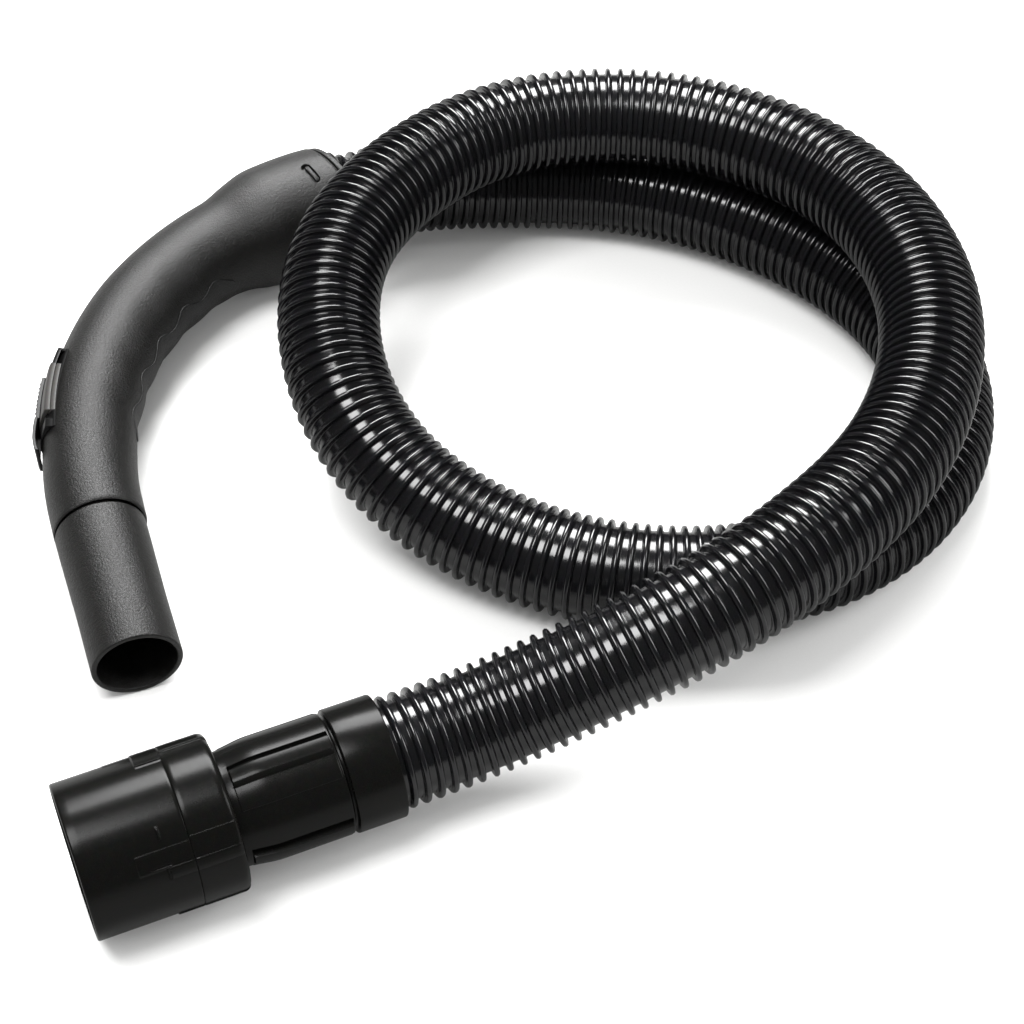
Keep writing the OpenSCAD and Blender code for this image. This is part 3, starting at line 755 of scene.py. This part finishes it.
# %% The sleeve
GROOVE_FROM, RIB_FROM, RIB_TO, STEP_A = 172.6, 179.4, 197.0, 220.0
rib_x = (COUPLING_END + 3 * MM, SLEEVE_END - 0.9 * MM)
quarters = np.array([0, 90, 180, 270])
sleeve_edges = np.array([GROOVE_FROM, RIB_FROM, RIB_TO - 3.6, RIB_TO - 2.4, RIB_TO - 1.2, RIB_TO, STEP_A])
sleeve_edges = np.radians((sleeve_edges[:, None] + quarters).ravel() % 360)
sleeve_angle = relief_lines(0, 2 * np.pi, math.radians(3), sleeve_edges, math.radians(0.9))[:-1]
sleeve_x = relief_lines(COUPLING_END - 6 * MM, SLEEVE_END - 0.4 * MM, 1.5 * MM, rib_x, 0.4 * MM)


def sleeve_radius(x, angle):
    """The sleeve's radius: a flare, then in each quarter a groove, a rib whose far edge is well rounded, a slightly
    raised stretch and a low one."""
    total = 20.9 * MM + 1.4 * MM * smooth_step((x - COUPLING_END) / (14 * MM))
    for q in quarters:
        off = (np.degrees(angle) - q - 225 + 180) % 360 + 45
        rounded = 1.25 * MM * np.sqrt(np.clip((RIB_TO - off) / 5.0, 0, 1)) * (off > RIB_FROM)
        in_x = raised(x, angle, *rib_x, q + 90, q + 270, 1.0, 0.3 * MM, 23 * MM)
        total = total + rounded * smooth_step((off - RIB_FROM) / 0.7) * in_x
        total = total - raised(x, angle, *rib_x, GROOVE_FROM + q, RIB_FROM + q, 1.5 * MM, 0.3 * MM, 23 * MM)
        total = total + raised(x, angle, *rib_x, RIB_TO + q, STEP_A + q, 0.18 * MM, 0.3 * MM, 23 * MM)
    return total


x_grid, a_grid = np.meshgrid(sleeve_x, sleeve_angle, indexing="ij")
sleeve_rows = on_connector(x_grid, sleeve_radius(x_grid, a_grid), a_grid)
end_radius = sleeve_radius(np.full_like(sleeve_angle, sleeve_x[-1]), sleeve_angle)
closing = [on_connector(SLEEVE_END - 0.1 * MM, end_radius - 0.15 * MM, sleeve_angle),
    on_connector(SLEEVE_END, end_radius - 0.45 * MM, sleeve_angle), on_connector(SLEEVE_END, 18.1 * MM, sleeve_angle),
    on_connector(COUPLING_END - 6 * MM, 18.1 * MM, sleeve_angle)]
sleeve_rows = np.concatenate([sleeve_rows, np.stack(closing)])
build("grip_sleeve", sleeve_rows, grid_faces(len(sleeve_rows), len(sleeve_angle), round_rows=True), "connector",
    coupling_finish, ("ribbed_sleeve",), sharp=40)

# %% The smooth cuff
cuff_outline = eased(np.array([
    (-33.5, 16), (-33.5, 17.9), (-7, 17.95), (-6.2, 17.95), (-6.2, 20.4), (-5, 20.4), (-5, 22.9), (13, 22.9),
    (13, 21), (0, 21), (0, 16),
]) * MM, 0.5 * MM, 3)
build("machine_end_cuff", turned_on_connector(cuff_outline), grid_faces(len(cuff_outline), 96, round_rows=True),
    "hose_line", coupling_finish, ("machine_cuff",), sharp=50)

# %% [markdown]
# What is left is hidden inside: the air pipe in the grip, the bushes, the seals and the clip. Their CAD shapes
# are right, so they only get finishes: plain moulded ABS with a dull sheen, matt black nitrile rubber, and the
# milky white that polyoxymethylene has without a pigment.

# %% Finishes of the inner parts
inner_finish = plastic("moulded ABS, inner parts, black", "#161617", "#1b1b1c", 0.45, 0.05, 1.0, 0.03)
rubber_finish = plastic("moulded nitrile rubber, black", "#0e0e0f", "#141415", 0.6, 0.05, 0.6, 0.03)
clip_finish = plastic("moulded polyoxymethylene, natural white", "#d2d2cd", "#dcdcd8", 0.35, 0.04, 1.5, 0.02)
for node, finish in (("bend_pipe", inner_finish), ("handle_seal", rubber_finish), ("handle_bush", inner_finish),
        ("machine_bush", inner_finish), ("swivel_clip", clip_finish), ("swivel_seal", rubber_finish),
        ("coupling_seal", rubber_finish)):
    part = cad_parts[node]
    part.data.materials.clear()
    part.data.materials.append(finish)

# %% [markdown]
# The floor is matt white paper. To mirror-like rays it and the world are darker than to the eye, which keeps
# the black plastics black: they would otherwise mirror a white surrounding.

# %% Stage
floor_size = 3.0
floor_mesh = bpy.data.meshes.new("floor")
half = floor_size / 2
floor_mesh.from_pydata([(-half, -half, 0), (half, -half, 0), (half, half, 0), (-half, half, 0)], [], [(0, 1, 2, 3)])
floor = bpy.data.objects.new("floor", floor_mesh)
bpy.context.collection.objects.link(floor)
paper, tree = material("matt white paper")
at = add(tree, "ShaderNodeTexCoord").outputs["Object"]
fibre = add(tree, "ShaderNodeTexNoise", Vector=at, Scale=900.0, Detail=2.0)
tone = add(tree, "ShaderNodeMixRGB", Fac=fibre.outputs["Fac"], Color1=linear("#e2e2e1"), Color2=linear("#e6e6e5"))
dull = add(tree, "ShaderNodeLightPath").outputs["Is Glossy Ray"]
shown = add(tree, "ShaderNodeMixRGB", Fac=dull, Color1=tone.outputs["Color"], Color2=linear("#8c8c8b"))
sheet = add(tree, "ShaderNodeBsdfPrincipled", Base_Color=shown.outputs["Color"], Roughness=0.9)
tree.links.new(sheet.outputs["BSDF"], add(tree, "ShaderNodeOutputMaterial").inputs["Surface"])
floor_mesh.materials.append(paper)

# %% Lights
WORLD_TO_THE_EYE = 1.0
WORLD_IN_REFLECTIONS = 0.09
world = bpy.data.worlds.new("studio")
world.use_nodes = True
wt = world.node_tree
wt.nodes.clear()
path = add(wt, "ShaderNodeLightPath").outputs
plain = add(wt, "ShaderNodeMath", {"operation": "MAXIMUM"}, _0=path["Is Camera Ray"], _1=path["Is Diffuse Ray"])
dim = add(wt, "ShaderNodeBackground", Color=linear("#ffffff"), Strength=WORLD_IN_REFLECTIONS)
bright = add(wt, "ShaderNodeBackground", Color=linear("#ffffff"), Strength=WORLD_TO_THE_EYE)
mix = add(wt, "ShaderNodeMixShader", Fac=plain.outputs[0], _1=dim.outputs[0], _2=bright.outputs[0])
wt.links.new(mix.outputs[0], add(wt, "ShaderNodeOutputWorld").inputs["Surface"])
bpy.context.scene.world = world

FORWARD = np.array([0.389, 0.921, 0.0])
RIGHT = np.array([0.921, -0.389, 0.0])
MIDDLE = np.array([0.104, 0.0, 0.0])


def softbox(name, forward, right, height, size, power):
    """A square area light, placed by its distances ahead, to the right and above, and turned to the middle."""
    data = bpy.data.lights.new(name, "AREA")
    data.shape = "RECTANGLE"
    data.size, data.size_y = size
    data.energy = power
    light = bpy.data.objects.new(name, data)
    place = MIDDLE + forward * FORWARD + right * RIGHT + np.array([0, 0, height])
    light.location = place
    light.rotation_euler = aimed(place, MIDDLE)
    bpy.context.collection.objects.link(light)


softbox("key", 1.0, -0.12, 1.15, (0.9, 0.7), 52)
softbox("side", 0.1, 1.3, 0.9, (0.6, 0.9), 12)
softbox("top", -0.3, -0.4, 1.7, (0.7, 0.7), 27)

bpy.context.scene.view_settings.view_transform = "Standard"
